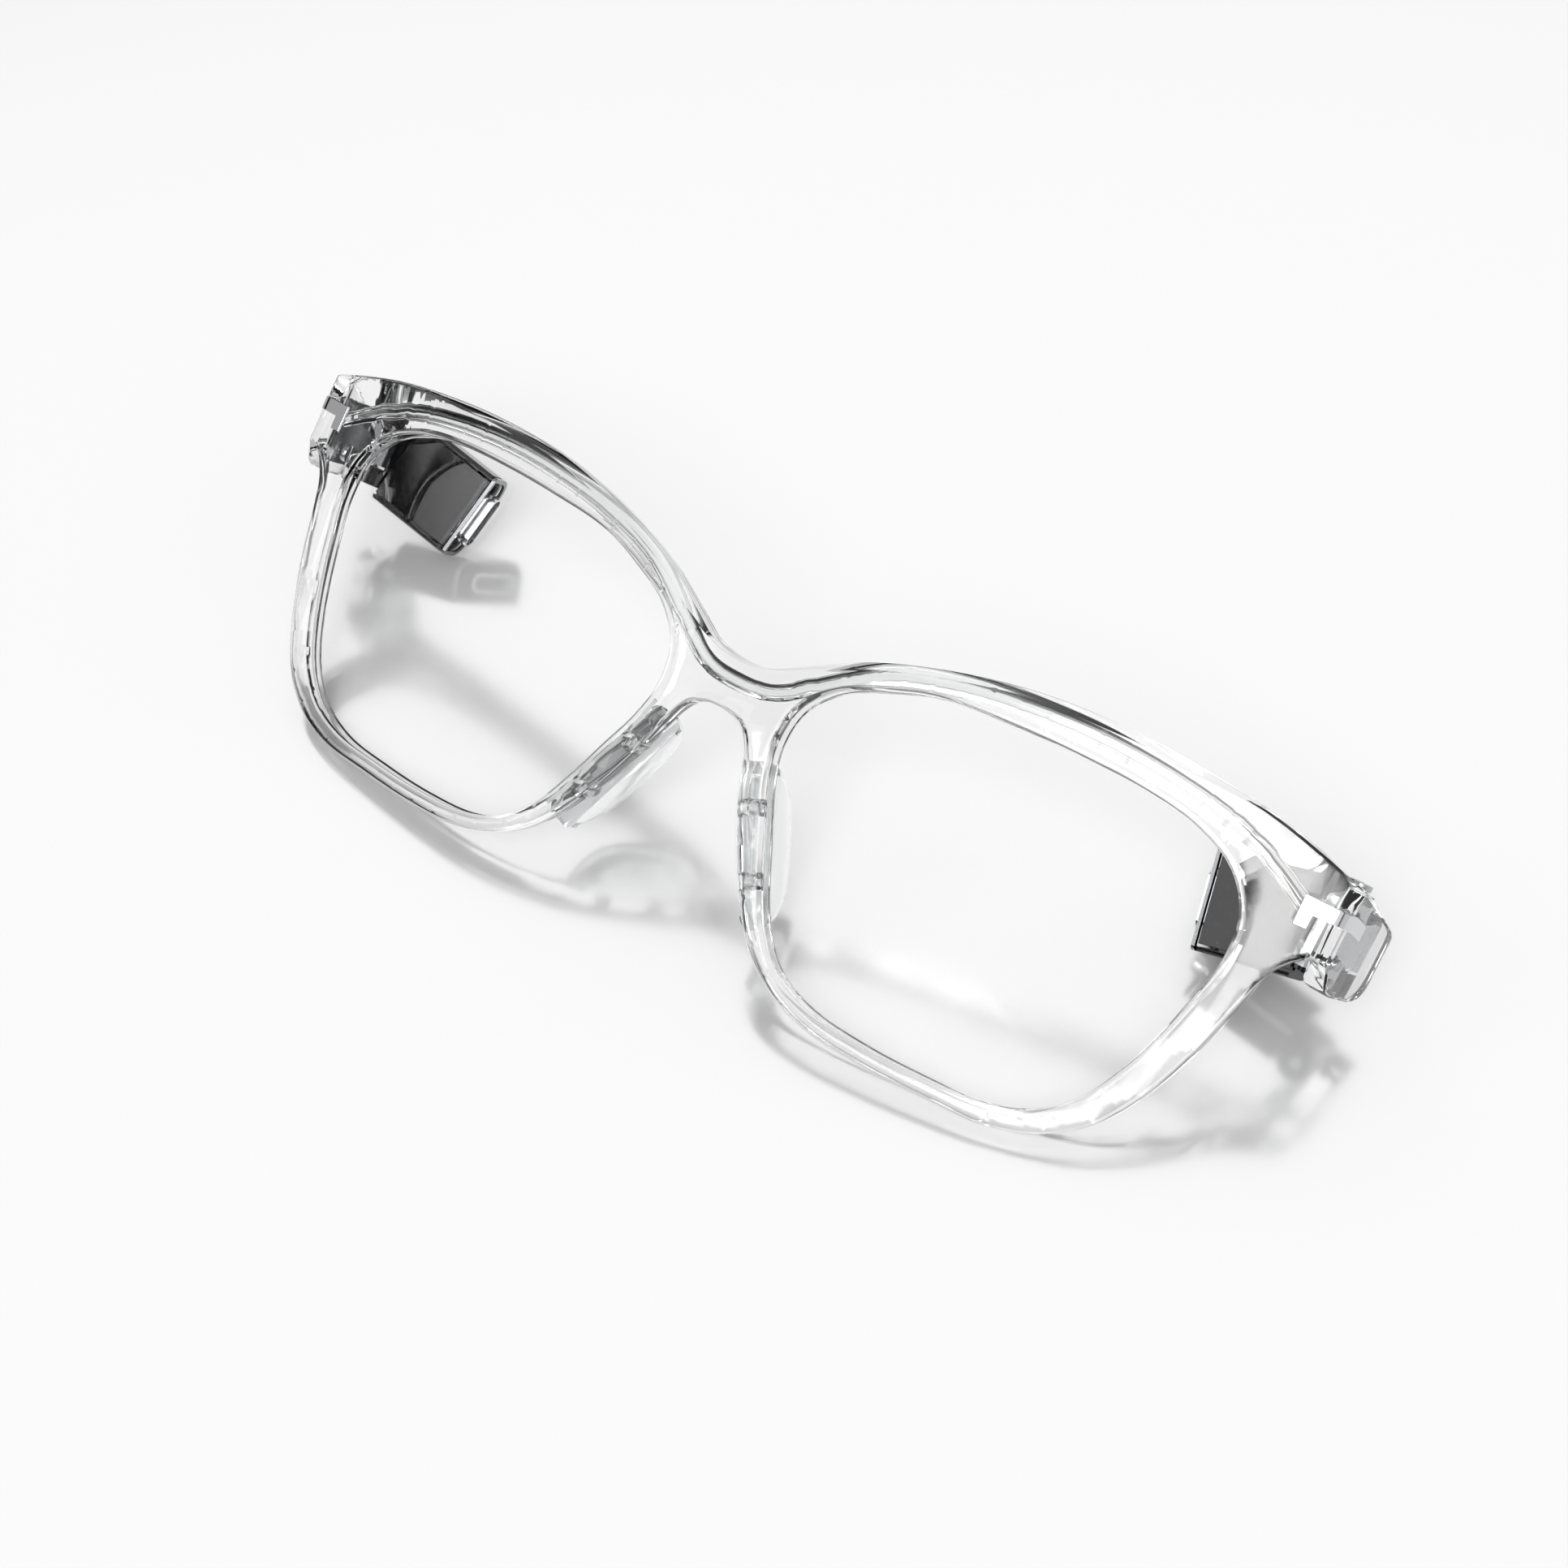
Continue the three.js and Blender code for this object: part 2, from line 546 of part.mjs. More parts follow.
function slotPlace(along) {
  const [x, y] = flankPoint(screwY, LUG_WALL + GAP);
  return [x + along * Math.cos(rad(LUG_FLARE)), y - along * Math.sin(rad(LUG_FLARE))];
}

const earTop = BARREL_HALF + GAP + EAR_HEIGHT;

// Pin with a wide head on top and a driver slot, from the lower ear to above the upper one.
function hingePin() {
  const shank = toSolid(upright(PIN_DIAMETER / 2, -earTop + 0.4, earTop + GAP + PIN_HEAD / 2, 16));
  const head = toSolid(upright(PIN_HEAD_DIAMETER / 2, earTop + GAP, earTop + GAP + PIN_HEAD, 20));
  const slot = toSolid(box(-2, 2, -SLOT_WIDTH / 2, SLOT_WIDTH / 2,
    earTop + GAP + PIN_HEAD - SLOT_DEPTH, earTop + 5));
  return toGeometry(shank.add(head).subtract(slot));
}

// ---- stub: fold frame has Y along the stub before it slopes, X outwards, Z up ---------
const stubIn = STUB_OFFSET - STUB_THICKNESS / 2;
const stubOut = STUB_OFFSET + STUB_THICKNESS / 2;

function stubSection(inset) {
  return roundedSection(stubIn + inset, stubOut - inset, STUB_HEIGHT - 2 * inset,
    Math.max(STUB_EDGE - inset, 0.15), Math.max(STUB_ROUND - inset, 0.3));
}

// Length of the stub's section along its own sloping axis.
function stubRun(shape, start, end) {
  return prismXZ(shape, start, end, 5);
}

function sloped(geometry) {
  return geometry.rotateX(-rad(STUB_DROP));
}

const bezelStart = STUB_REACH - BEZEL_LENGTH;
const housingEnd = bezelStart - GAP;
const seatEnd = housingEnd - SEAL_LENGTH - GAP;
const mouthStart = seatEnd - SEAT_THICKNESS - GAP;
const coverStart = STUB_START + COVER_SETBACK;
const cavityStart = STUB_START + CAVITY_SETBACK;
const coverIn = stubIn + COVER_THICKNESS;
const coverHalf = STUB_HEIGHT / 2 - COVER_EDGE;
const cavityHalf = STUB_HEIGHT / 2 - STUB_RAIL;

function stubHousing() {
  const blank = toSolid(sloped(stubRun(stubSection(0), -6, housingEnd)));
  const behindRoot = toSolid(box(-10, 10, STUB_START, 40, -20, 20));
  let housing = blank.intersect(behindRoot);
  for (const sign of [-1, 1]) {
    const low = sign > 0 ? BARREL_HALF + GAP : -earTop;
    const ear = toSolid(upright(BARREL_RADIUS, low, low + EAR_HEIGHT, 20));
    const web = toSolid(box(stubIn + 0.1, BARREL_RADIUS, 0, STUB_START + 0.6,
      low, low + EAR_HEIGHT));
    housing = housing.add(ear).add(web);
  }
  housing = housing.subtract(toSolid(upright(PIN_DIAMETER / 2 + GAP, -20, 20, 16)));
  const cavity = sloped(box(coverIn, stubOut - STUB_WALL, cavityStart, mouthStart + GAP,
    -cavityHalf, cavityHalf));
  const window = sloped(box(stubIn - 2, coverIn + GAP, coverStart - GAP, housingEnd + 1,
    -coverHalf - GAP, coverHalf + GAP));
  const mouth = sloped(stubRun(stubSection(MOUTH_WALL), mouthStart, housingEnd + 1));
  const plugRoot = sloped(stubRun(stadium(PLUG_WIDTH + 2 * GAP, PLUG_HEIGHT + 2 * GAP),
    STUB_REACH - PLUG_ROOT - GAP, housingEnd + 1));
  for (const cut of [cavity, window, mouth, plugRoot]) {
    housing = housing.subtract(toSolid(cut));
  }
  return toGeometry(housing);
}

function stubCover() {
  return sloped(box(stubIn, coverIn, coverStart, housingEnd, -coverHalf, coverHalf));
}

// Ring parallel to the stub's own section, hollow through its length.
function stubRing(start, end, inset, wall) {
  const ring = toSolid(stubRun(stubSection(inset), start, end));
  const inside = toSolid(stubRun(stubSection(inset + wall), start - 1, end + 1));
  return sloped(toGeometry(ring.subtract(inside)));
}

function stadium(width, height) {
  return roundedSection(STUB_OFFSET - height / 2, STUB_OFFSET + height / 2, width,
    height / 2 - 0.05, height / 2 - 0.05);
}

function connectorSeat() {
  const body = toSolid(stubRun(stubSection(MOUTH_WALL + GAP), seatEnd - SEAT_THICKNESS, seatEnd));
  const hole = toSolid(stubRun(stadium(PLUG_WIDTH + 2 * GAP, PLUG_HEIGHT + 2 * GAP), 0, 30));
  return sloped(toGeometry(body.subtract(hole)));
}

function plugShell() {
  const start = STUB_REACH - PLUG_ROOT;
  const tube = toSolid(stubRun(stadium(PLUG_WIDTH, PLUG_HEIGHT), start, STUB_REACH + PLUG_PROUD));
  const inside = toSolid(stubRun(
    stadium(PLUG_WIDTH - 2 * PLUG_WALL, PLUG_HEIGHT - 2 * PLUG_WALL),
    start + PLUG_WALL, STUB_REACH + PLUG_PROUD + 1));
  return sloped(toGeometry(tube.subtract(inside)));
}

function plugInsert() {
  const start = STUB_REACH - PLUG_ROOT + PLUG_WALL + GAP;
  const inner = 2 * PLUG_WALL + 2 * GAP;
  const block = toSolid(stubRun(stadium(PLUG_WIDTH - inner, PLUG_HEIGHT - inner),
    start, STUB_REACH + PLUG_PROUD - INSERT_SETBACK));
  const slot = toSolid(box(STUB_OFFSET - TONGUE_SLOT / 2, STUB_OFFSET + TONGUE_SLOT / 2,
    start + TONGUE_MARGIN, 40, -PLUG_WIDTH / 2 + TONGUE_MARGIN, PLUG_WIDTH / 2 - TONGUE_MARGIN));
  return sloped(toGeometry(block.subtract(slot)));
}

const boardIn = coverIn + 2 * GAP;
function connectorBoard() {
  return sloped(box(boardIn, boardIn + BOARD_THICKNESS, cavityStart + GAP,
    STUB_REACH - PLUG_ROOT - GAP, -cavityHalf + GAP, cavityHalf - GAP));
}

function controlChip() {
  const start = boardIn + BOARD_THICKNESS + GAP;
  const middle = (cavityStart + STUB_REACH - PLUG_ROOT) / 2;
  const [run, rise] = CHIP_SIZE;
  return sloped(box(start, start + CHIP_THICKNESS, middle - run / 2, middle + run / 2,
    -rise / 2, rise / 2));
}

// ---- assembly --------------------------------------------------------------------------
function piece(name, geometry, look) {
  const mesh = new THREE.Mesh(geometry, look);
  mesh.name = name;
  return mesh;
}

const glasses = new THREE.Group();
const worn = new THREE.Group();
worn.rotation.x = -rad(RECLINE);
glasses.add(worn);

worn.add(piece('front_frame', frontFrame(), clearNylon));
worn.add(piece('brow_link_cable', channelTube(CABLE_DIAMETER, 8, 0), cableJacket));

for (const side of [-1, 1]) {
  const hand = side > 0 ? 'right' : 'left';
  const sided = (geometry) => (side > 0 ? geometry : mirrored(geometry));
  worn.add(piece(`lens_${hand}`, lens(side), lensResin));
  worn.add(piece(`nose_pad_${hand}`, nosePad(side), softSilicone));
  worn.add(piece(`corner_plate_${hand}`, sided(toGeometry(plateSolid(0))), polishedSteel));
  worn.add(piece(`hinge_bracket_${hand}`, sided(hingeBracket()), brushedSteel));
  worn.add(piece(`bracket_screw_upper_${hand}`, sided(bracketScrew(SCREW_SPACING / 2)),
    brushedSteel));
  worn.add(piece(`bracket_screw_lower_${hand}`, sided(bracketScrew(-SCREW_SPACING / 2)),
    brushedSteel));

  const fold = new THREE.Group();
  fold.position.set(side * HINGE_X, HINGE_Y, HINGE_Z);
  fold.rotation.z = side * rad(FOLD);
  worn.add(fold);
  fold.add(piece(`hinge_pin_${hand}`, sided(hingePin()), brushedSteel));
  fold.add(piece(`stub_housing_${hand}`, sided(stubHousing()), blackNylon));
  fold.add(piece(`stub_cover_${hand}`, sided(stubCover()), blackNylon));
  fold.add(piece(`end_seal_${hand}`, sided(stubRing(housingEnd - SEAL_LENGTH, housingEnd,
    MOUTH_WALL + GAP, SEAL_WALL)), blackRubber));
  fold.add(piece(`end_bezel_${hand}`, sided(stubRing(bezelStart, STUB_REACH, 0, BEZEL_WALL)),
    polishedSteel));
  fold.add(piece(`connector_seat_${hand}`, sided(connectorSeat()), blackPlastic));
  fold.add(piece(`plug_shell_${hand}`, sided(plugShell()), plugSteel));
  fold.add(piece(`plug_insert_${hand}`, sided(plugInsert()), blackPlastic));
  fold.add(piece(`connector_board_${hand}`, sided(connectorBoard()), boardGreen));
  fold.add(piece(`control_chip_${hand}`, sided(controlChip()), chipBlack));
}

// Stand the glasses on the ground, centred on the origin.
glasses.updateMatrixWorld(true);
const extent = new THREE.Box3().setFromObject(glasses, true);
worn.position.y = -(extent.min.y + extent.max.y) / 2;
worn.position.z = -extent.min.z;

export default glasses;
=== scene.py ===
# Clear front of modular smart glasses, lying back on its lower rims and folded stubs.
import json
import math

import bpy
from mathutils import Matrix, Vector


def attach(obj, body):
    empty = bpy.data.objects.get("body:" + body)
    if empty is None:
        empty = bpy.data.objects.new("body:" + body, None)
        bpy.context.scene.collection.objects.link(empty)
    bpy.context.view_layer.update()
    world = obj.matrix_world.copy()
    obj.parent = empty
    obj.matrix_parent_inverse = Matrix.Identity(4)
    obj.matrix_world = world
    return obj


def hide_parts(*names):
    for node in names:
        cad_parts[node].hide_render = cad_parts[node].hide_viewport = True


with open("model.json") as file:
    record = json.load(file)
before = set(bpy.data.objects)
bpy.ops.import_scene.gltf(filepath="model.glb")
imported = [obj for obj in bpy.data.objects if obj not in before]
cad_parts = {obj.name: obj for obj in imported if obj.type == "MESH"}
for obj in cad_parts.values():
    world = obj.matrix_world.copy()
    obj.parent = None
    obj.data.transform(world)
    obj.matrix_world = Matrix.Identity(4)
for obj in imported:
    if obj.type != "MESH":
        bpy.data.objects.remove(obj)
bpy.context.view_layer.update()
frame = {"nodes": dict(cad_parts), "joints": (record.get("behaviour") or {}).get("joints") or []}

nodes = frame["nodes"]
MM = 0.001

# ---- sizes in millimetres ----
RADIUS = 281.0            # wrap of the front
THICK = 3.1               # front, face to back
FRONT_END = 66.6          # half width where the corner starts
CORNER = 2.2              # outer radius of the corner
FLARE = math.radians(12.5)
FLANK_WALL = 2.8
BEND_START = 60.0         # where the back face leaves the curve of the front
BEND_END = 70.5           # where the back face is parallel to the flank
RECLINE = math.radians(50)
HINGE = Vector((65.403, 19.2, 11.4))
END_EDGE = 0.3            # rounding of the front's outline at the ends and below
BROW_EDGE = 1.0           # the same over the middle of each brow
BROW_END = 56             # where the broad edge has run out
BROW_FADE = 9             # how far it takes to do so
BROW_FOOT = 10            # height above which the edge starts to broaden
BROW_RISE = 4
BACK_EDGE = 0.4
OPENING_FRONT_EDGE = 0.4
OPENING_BACK_EDGE = 0.35

LENS_FRONT = 0.8
LENS_THICK = 1.5
LENS_CHAMFER = 0.3
LENS_PLAY = 0.35          # edge of the lens to the floor of its groove
GROOVE = 0.7              # depth of the groove
GROOVE_PLAY = 0.3         # groove wider than the lens, on each side
CHANNEL_RADIUS = 0.95
CHANNEL_DEPTH = 0.55
CHANNEL_OVERRUN = 1.4     # cutter beyond the ends of the cable
CHANNEL_END_FALL = -0.55  # slope of the channel at its ends
CABLE_RADIUS = 0.6
PAD_PLACE = Vector((9.6, 3.4, -7.2))
PAD_TILT = math.radians(24)
PAD_HALF = 9.0
PAD_DEPTH = 6.0
PAD_WIDTH = 3.4
PAD_EDGE = 1.3
STUD_SPACING = 7.8
STUD_RADIUS = 0.85
STUD_REACH = 2.35         # middle of the pad to the tip of a stud
STUD_ROOT = 0.6           # stud behind the middle of the pad
STUD_HOLE_RADIUS = 0.98
STUD_HOLE_REACH = 2.5
PLATE_PROUD = -0.15       # depth of the outer face of a corner plate; the front has 0
PLATE_BACK = 0.45
PLATE_EDGE = 0.12
PLATE_BACK_EDGE = 0.05

# ---- fineness of the meshes ----
CURVE_STEPS = 40          # between two knots, before the points are spaced evenly
OUTLINE_STEPS = 560
OPENING_STEPS = 230
CHANNEL_STEPS = 160
PAD_STEPS = 120
PAD_SIDE_STEPS = 24
STUD_SIDES = 28
WELD = 1e-7               # metres within which points are one
CAD_WELD = 2e-6           # the same on a copied CAD solid
FLAT_ANGLE = 1.0          # degrees within which its facets are one face
BREAK_ANGLE = 35          # degrees past which its edges are broken
BREAK_SEGMENTS = 2

# Outline of the right half, with the flank laid flat beyond the corner.
OUTLINE = [
    (0, 10.0), (3.6, 10.5), (7.6, 12.7), (13.6, 16.0), (22, 18.9), (32, 20.9), (42.5, 21.4),
    (51, 20.9), (58, 19.9), (63.4, 18.6), (66.6, 17.7), (69.5, 17.1), (74, 15.9),
    (78.4, 14.5), (79.4, 14.15), (79.95, 13.7), (80.15, 13.0), (80.18, 11.8), (80.18, 8.7),
    (79.95, 7.5), (79.3, 6.5), (78.3, 5.95), (77.2, 5.8), (74.5, 5.8), (72.0, 5.85),
    (70.5, 6.3), (69.5, 7.4), (68.5, 8.6), (67.3, 9.0), (66.1, 8.5), (64.9, 7.5),
    (63.3, 5.2), (62.1, 1.4), (60.9, -3.1), (59.4, -7.5), (57.4, -12), (54.6, -16.2),
    (50.7, -19.3), (45.4, -21.2), (38.4, -21.7), (31, -21.9), (24.5, -21.5), (19.2, -19.9),
    (14.8, -16.8), (11.4, -12.4), (8.6, -7.5), (6.4, -2.9), (5.0, 1.0), (3.2, 3.6),
]
ARCH = (0, 4.4)
OPENING = [
    (57.9, 0), (58.9, 5), (58.4, 9.6), (55.8, 13.3), (51.2, 15.6), (45, 16.6), (38, 16.8),
    (30, 16.5), (22, 15.7), (16.1, 13.7), (11.4, 11.3), (8.5, 7.9), (7.8, 3.6), (8.8, -0.6),
    (10.7, -4.9), (12.7, -9.4), (15.3, -14.2), (18.7, -17.7), (23.4, -19.5), (30, -20.1),
    (37, -20.0), (43.9, -19.4), (48.8, -17.5), (52.6, -13.9), (55.6, -7.9),
]
CHANNEL = [
    (0, 7.5), (4.2, 8.0), (8.2, 10.6), (15.4, 15.2), (23.5, 17.7), (31, 18.8), (39, 19.2),
    (48, 18.6), (54.5, 17.4), (59, 15.6), (62.6, 13.6),
]
PLATE = [
    (63.3, 14.5), (69.4, 14.5), (72.2, 13.9), (72.2, 12.2), (69.4, 12.8), (64.75, 12.8),
    (64.75, 11.3), (63.3, 11.3),
]

right_fold = next(j for j in frame["joints"] if j["name"] == "right_fold")
lean = Matrix.Rotation(-RECLINE, 4, "X")
WORN = Matrix.Translation(Vector(right_fold["pos_m"]) / MM - lean @ HINGE) @ lean


def worn(x, y, z):
    """Point of the upright glasses, in mm, as it lies, in metres."""
    return (WORN @ Vector((x, y, z))) * MM


# ---- small helpers ----
def deselect():
    bpy.ops.object.select_all(action="DESELECT")


def pick(obj):
    deselect()
    obj.select_set(True)
    bpy.context.view_layer.objects.active = obj


def edit(obj, mode="VERT"):
    """Edit mode with everything selected."""
    pick(obj)
    bpy.ops.object.mode_set(mode="EDIT")
    bpy.ops.mesh.select_mode(type=mode)
    bpy.ops.mesh.select_all(action="SELECT")


def leave():
    bpy.ops.object.mode_set(mode="OBJECT")


def apply(obj, kind, **settings):
    pick(obj)
    bpy.ops.object.modifier_add(type=kind)
    modifier = obj.modifiers[-1]
    for key, value in settings.items():
        setattr(modifier, key, value)
    bpy.ops.object.modifier_apply(modifier=modifier.name)


def smooth(obj, degrees):
    pick(obj)
    bpy.ops.object.shade_smooth_by_angle(angle=math.radians(degrees))


def cut(obj, cutter):
    apply(obj, "BOOLEAN", operation="DIFFERENCE", object=cutter, solver="EXACT")
    bpy.data.objects.remove(cutter)


def finish_piece(obj, material, slot, body, *replaced):
    obj.data.materials.clear()
    obj.data.materials.append(material)
    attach(obj, body)
    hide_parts(*replaced)


def spline(knots, closed, steps):
    """Even points on a centripetal curve through the knots."""
    knots = [Vector(k) for k in knots]
    if closed:
        line = [knots[-1]] + knots + knots[:2]
    else:
        line = [2 * knots[0] - knots[1]] + knots + [2 * knots[-1] - knots[-2]]
    fine = []
    for p0, p1, p2, p3 in zip(line, line[1:], line[2:], line[3:]):
        t1 = math.sqrt((p1 - p0).length)
        t2 = t1 + math.sqrt((p2 - p1).length)
        t3 = t2 + math.sqrt((p3 - p2).length)
        for i in range(CURVE_STEPS):
            t = t1 + (t2 - t1) * i / CURVE_STEPS
            a = p0.lerp(p1, t / t1)
            b = p1.lerp(p2, (t - t1) / (t2 - t1))
            c = p2.lerp(p3, (t - t2) / (t3 - t2))
            d = a.lerp(b, t / t2)
            e = b.lerp(c, (t - t1) / (t3 - t1))
            fine.append(d.lerp(e, (t - t1) / (t2 - t1)))
    fine.append(fine[0] if closed else knots[-1])
    run = [0.0]
    for p, q in zip(fine, fine[1:]):
        run.append(run[-1] + (q - p).length)
    points = []
    k = 0
    for i in range(steps if closed else steps + 1):
        goal = run[-1] * i / steps
        while k < len(run) - 2 and run[k + 1] < goal:
            k += 1
        part = (goal - run[k]) / (run[k + 1] - run[k])
        points.append(fine[k].lerp(fine[k + 1], part))
    return points


# ---- plates made between outlines ----
def inward(points, side):
    """Unit normals of a closed outline: side 1 into it, side -1 out of it."""
    area = sum(p.x * q.y - q.x * p.y for p, q in zip(points, points[1:] + points[:1]))
    turn = side * math.copysign(1, area)
    normals = []
    for before, after in zip(points[-1:] + points[:-1], points[1:] + points[:1]):
        along = (after - before).normalized()
        normals.append(Vector((-along.y, along.x)) * turn)
    return normals


def plate(name, loops, place, stations=()):
    """Solid between closed outlines. A loop is (points, side, rings), and a ring is
    (depth, inset) or a function of a point that gives them. stations are the places
    along X where it is divided before place bends it."""
    verts = []
    faces = []
    ends = ([], [])
    for points, side, rings in loops:
        normals = inward(points, side)
        base = len(verts)
        count = len(points)
        for ring in rings:
            for p, n in zip(points, normals):
                depth, inset = ring(p) if callable(ring) else ring
                verts.append((p.x + n.x * inset, depth, p.y + n.y * inset))
        for r in range(len(rings) - 1):
            for k in range(count):
                a = base + r * count + k
                b = base + r * count + (k + 1) % count
                faces.append((a, b, b + count, a + count))
        ends[0].extend(range(base, base + count))
        ends[1].extend(range(len(verts) - count, len(verts)))
    mesh = bpy.data.meshes.new(name)
    mesh.from_pydata(verts, [], faces)
    obj = bpy.data.objects.new(name, mesh)
    bpy.context.scene.collection.objects.link(obj)
    for end in ends:
        rim = set(end)
        edit(obj, "EDGE")
        bpy.ops.mesh.select_all(action="DESELECT")
        leave()
        for e in mesh.edges:
            if e.vertices[0] in rim and e.vertices[1] in rim:
                e.select = True
                for v in e.vertices:
                    mesh.vertices[v].select = True
        pick(obj)
        bpy.ops.object.mode_set(mode="EDIT")
        bpy.ops.mesh.fill(use_beauty=True)
        leave()
    edit(obj)
    for station in stations:
        bpy.ops.mesh.select_all(action="SELECT")
        bpy.ops.mesh.bisect(plane_co=(station, 0, 0), plane_no=(1, 0, 0))
    leave()
    for v in mesh.vertices:
        v.co = place(v.co)
    edit(obj)
    bpy.ops.mesh.remove_doubles(threshold=WELD)
    bpy.ops.mesh.normals_make_consistent(inside=False)
    leave()
    return obj


# Share of an edge's size that each of its rings lies deep and inset.
SMALL_EDGE = [(0, 1), (0.1, 0.75), (0.75, 0.1), (1, 0)]
ROUND_EDGE = [(0, 1), (0.07, 0.82), (0.82, 0.07), (1, 0)]


def rounded(depth, size, back=False):
    """Rings of a small edge: flat in the middle, eased at both ends."""
    if back:
        return [(depth - a * size, b * size) for a, b in reversed(SMALL_EDGE)]
    return [(depth + a * size, b * size) for a, b in SMALL_EDGE]


def front_y(x):
    return x * x / (2 * RADIUS)


end_angle = math.atan(FRONT_END / RADIUS)
flank_angle = math.pi / 2 - FLARE
corner_centre = Vector((FRONT_END - CORNER * math.sin(end_angle),
                        front_y(FRONT_END) + CORNER * math.cos(end_angle)))
corner_run = CORNER * (flank_angle - end_angle)
flank_out = Vector((math.cos(FLARE), -math.sin(FLARE)))
flank_along = Vector((math.sin(FLARE), math.cos(FLARE)))
flank_start = corner_centre + CORNER * flank_out


def outer_plan(s):
    """Point on the outer face, in plan, s along the front, the corner and the flank."""
    if s <= FRONT_END:
        return Vector((s, front_y(s)))
    if s <= FRONT_END + corner_run:
        angle = end_angle + (s - FRONT_END) / CORNER
        return corner_centre + CORNER * Vector((math.sin(angle), -math.cos(angle)))
    return flank_start + (s - FRONT_END - corner_run) * flank_along


bend_a = Vector((BEND_START, front_y(BEND_START) + THICK))
bend_c = outer_plan(BEND_END) - FLANK_WALL * flank_out
bend_slope = Vector((1, BEND_START / RADIUS))
reach = ((bend_c - bend_a).x * flank_along.y - (bend_c - bend_a).y * flank_along.x) / (
    bend_slope.x * flank_along.y - bend_slope.y * flank_along.x)
bend_b = bend_a + reach * bend_slope


def inner_plan(s):
    if s <= BEND_START:
        return Vector((s, front_y(s) + THICK))
    if s < BEND_END:
        t = (s - BEND_START) / (BEND_END - BEND_START)
        return bend_a.lerp(bend_b, t).lerp(bend_b.lerp(bend_c, t), t)
    return outer_plan(s) - FLANK_WALL * flank_out


def on_front(v):
    """(along, depth, height) of the flat layout to its place on the glasses."""
    s = abs(v.x)
    p = outer_plan(s).lerp(inner_plan(s), v.y / THICK)
    return worn(math.copysign(p.x, v.x), p.y, v.z)


def straight_on(v):
    """The same without the corner, for what stays on the front's curve."""
    return worn(v.x, front_y(v.x) + v.y, v.z)


# Places along X where a flat layout is divided so that it can bend.
FRONT_STATIONS = [-57 + 3 * i for i in range(39)]
BEND_STATIONS = [60, 61.2, 62.4, 63.6, 64.8, 65.8, 66.6, 66.95, 67.3, 67.65, 68.0, 68.35,
                 68.7, 69.07, 69.8, 70.5, 73, 76]

both = OUTLINE + [ARCH] + [(-x, z) for x, z in reversed(OUTLINE[1:])]
outline = spline(both, True, OUTLINE_STEPS)
opening_right = spline(OPENING, True, OPENING_STEPS)
opening_left = [Vector((-p.x, p.y)) for p in opening_right]


def top_edge(p):
    """Width of the front edge: broad over the middle of each brow, crisp at its end."""
    along = min(1, max(0, (BROW_END - abs(p.x)) / BROW_FADE))
    up = min(1, max(0, (p.y - BROW_FOOT) / BROW_RISE))
    return END_EDGE + (BROW_EDGE - END_EDGE) * along * up


outer_rings = [lambda p, a=a, b=b: (a * top_edge(p), b * top_edge(p))
               for a, b in ROUND_EDGE]
outer_rings += rounded(THICK, BACK_EDGE, back=True)
groove_front = LENS_FRONT - GROOVE_PLAY
groove_back = LENS_FRONT + LENS_THICK + GROOVE_PLAY
opening_rings = rounded(0, OPENING_FRONT_EDGE) + [
    (groove_front, 0), (groove_front, GROOVE), (groove_back, GROOVE), (groove_back, 0)]
opening_rings += rounded(THICK, OPENING_BACK_EDGE, back=True)


def tube(name, points, radius, resolution):
    """Round rod through the points, in mm of the upright glasses."""
    curve = bpy.data.curves.new(name, "CURVE")
    curve.dimensions = "3D"
    curve.bevel_depth = radius * MM
    curve.bevel_resolution = resolution
    curve.use_fill_caps = True
    line = curve.splines.new("POLY")
    line.points.add(len(points) - 1)
    for target, p in zip(line.points, points):
        target.co = (*worn(*p), 1)
    obj = bpy.data.objects.new(name, curve)
    bpy.context.scene.collection.objects.link(obj)
    pick(obj)
    bpy.ops.object.convert(target="MESH")
    obj = bpy.context.view_layer.objects.active
    edit(obj)
    bpy.ops.mesh.remove_doubles(threshold=WELD)
    bpy.ops.mesh.normals_make_consistent(inside=False)
    leave()
    return obj


def channel_line(overrun):
    """Middle of the cable channel, longer by overrun at each end."""
    knots = [(-x, z) for x, z in reversed(CHANNEL[1:])] + CHANNEL
    first = Vector(knots[0]) + overrun * Vector((-1, CHANNEL_END_FALL))
    last = Vector(knots[-1]) + overrun * Vector((1, CHANNEL_END_FALL))
    knots = [tuple(first)] + knots[1:-1] + [tuple(last)]
    return [(p.x, front_y(p.x) + THICK - CHANNEL_DEPTH, p.y)
            for p in spline(knots, False, CHANNEL_STEPS)]


def pad_matrix(side):
    place = Vector((side * PAD_PLACE.x, PAD_PLACE.y + front_y(PAD_PLACE.x), PAD_PLACE.z))
    return Matrix.Translation(place) @ Matrix.Rotation(-side * PAD_TILT, 4, "Y")


def stud(side, height, radius, deep):
    """Upright cylinder turned to point forwards out of a nose pad."""
    bpy.ops.mesh.primitive_cylinder_add(vertices=STUD_SIDES, radius=radius * MM,
                                        depth=(deep + STUD_ROOT) * MM)
    obj = bpy.context.view_layer.objects.active
    middle = Vector((0, (STUD_ROOT - deep) / 2, height))
    turn = pad_matrix(side) @ Matrix.Translation(middle) @ Matrix.Rotation(math.pi / 2, 4, "X")
    for v in obj.data.vertices:
        v.co = (WORN @ turn @ (v.co / MM)) * MM
    edit(obj)
    bpy.ops.mesh.normals_make_consistent(inside=False)
    leave()
    return obj


